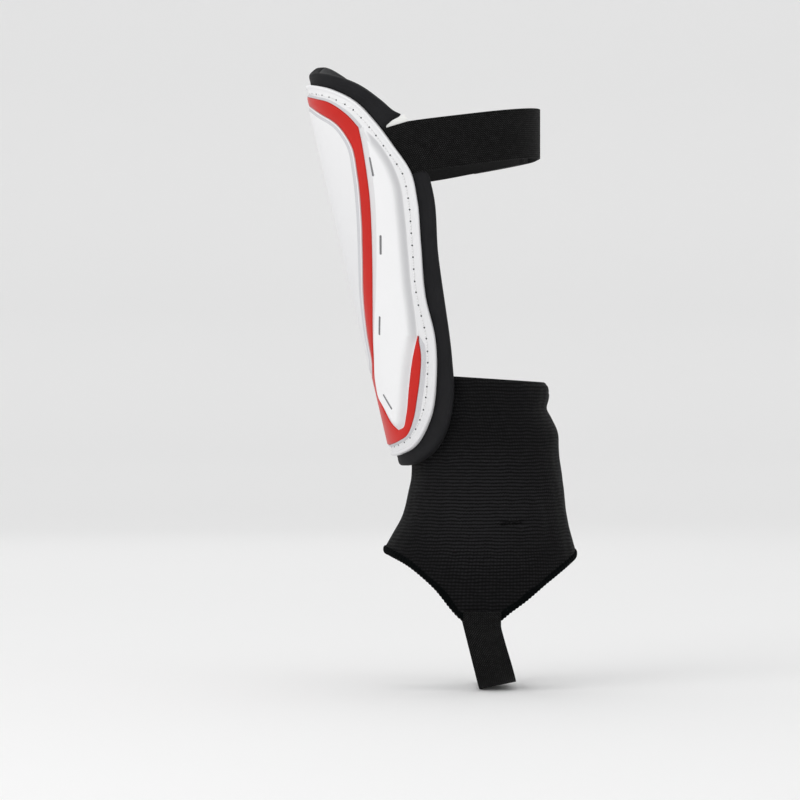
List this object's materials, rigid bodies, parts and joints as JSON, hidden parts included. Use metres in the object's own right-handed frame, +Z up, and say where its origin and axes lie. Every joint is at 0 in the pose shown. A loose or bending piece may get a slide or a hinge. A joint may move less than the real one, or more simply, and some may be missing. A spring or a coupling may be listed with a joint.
{
  "type": "ankle shin guard",
  "caption": "Football shin guard: moulded shell on a foam backing, sewn to a knit ankle sleeve with a sole stirrup, with an elastic hook-and-loop calf strap.",
  "frame": {"origin": "centre of the ankle joint, on the leg's mid-plane, where the worn guard's leg passes", "axes": "+Z up the lower leg, -Y the way the shin and shell face, +X towards the side where the calf strap leaves the guard"},
  "size_m": [0.1086, 0.1693, 0.3898],
  "materials": {
    "white_shell": "satin moulded polypropylene",
    "red_inlay": "glossy red moulded inlay",
    "white_thread": "twisted polyester thread",
    "black_foam": "matte closed-cell EVA foam",
    "brushed_lining": "brushed loop knit",
    "label": "plain woven satin label",
    "black_elastic": "woven elastic webbing",
    "loop_tape": "loop-faced elastic",
    "hook_tape": "moulded nylon hook tape",
    "black_thread": "twisted polyester thread",
    "black_knit": "ribbed elastic knit",
    "edging_elastic": "rolled overlocked elastic",
    "disc_foam": "soft open-cell foam",
    "pocket_knit": "fine tricot knit"
  },
  "bodies": {
    "sleeve": {"ankle_sleeve": "black_knit", "sleeve_top_hem": "black_knit", "instep_edging": "edging_elastic", "heel_edging": "edging_elastic", "ankle_disc_outer": "disc_foam", "ankle_disc_inner": "disc_foam", "disc_pocket_outer": "pocket_knit", "disc_pocket_inner": "pocket_knit", "guard_seam_stitches": "black_thread"},
    "guard": {"shell": "white_shell", "red_inlay": "red_inlay", "shell_stitching": "white_thread", "foam_backing": "black_foam", "backing_lining": "brushed_lining", "size_label": "label", "calf_strap_anchor": "black_elastic", "calf_strap_loop_end": "loop_tape"},
    "calf_strap": {"calf_strap_elastic": "black_elastic"},
    "strap_tab": {"calf_strap_hook_tab": "hook_tape", "hook_tab_stitches": "black_thread"},
    "stirrup": {"stirrup_elastic": "black_elastic", "stirrup_stitches": "black_thread"}
  },
  "joints": [
    {"name": "guard_fold", "type": "hinge", "parent": "sleeve", "child": "guard", "pos_m": [0, -0.04655, 0.02155], "axis": [1, 0, 0], "range_deg": [0, 60]},
    {"name": "strap_swing", "type": "hinge", "parent": "guard", "child": "calf_strap", "pos_m": [0.05315, -0.03966, 0.2175], "axis": [-0.0393, 0.1813, -0.9827], "range_deg": [0, 70]},
    {"name": "tab_peel", "type": "hinge", "parent": "calf_strap", "child": "strap_tab", "pos_m": [-0.02232, 0.02874, 0.22742], "axis": [0.0175, 0.0185, -0.9997], "range_deg": [0, 100]},
    {"name": "stirrup_swing", "type": "hinge", "parent": "sleeve", "child": "stirrup", "pos_m": [0, -0.0025, -0.0725], "axis": [1, 0, 0], "range_deg": [-25, 35]}
  ]
}
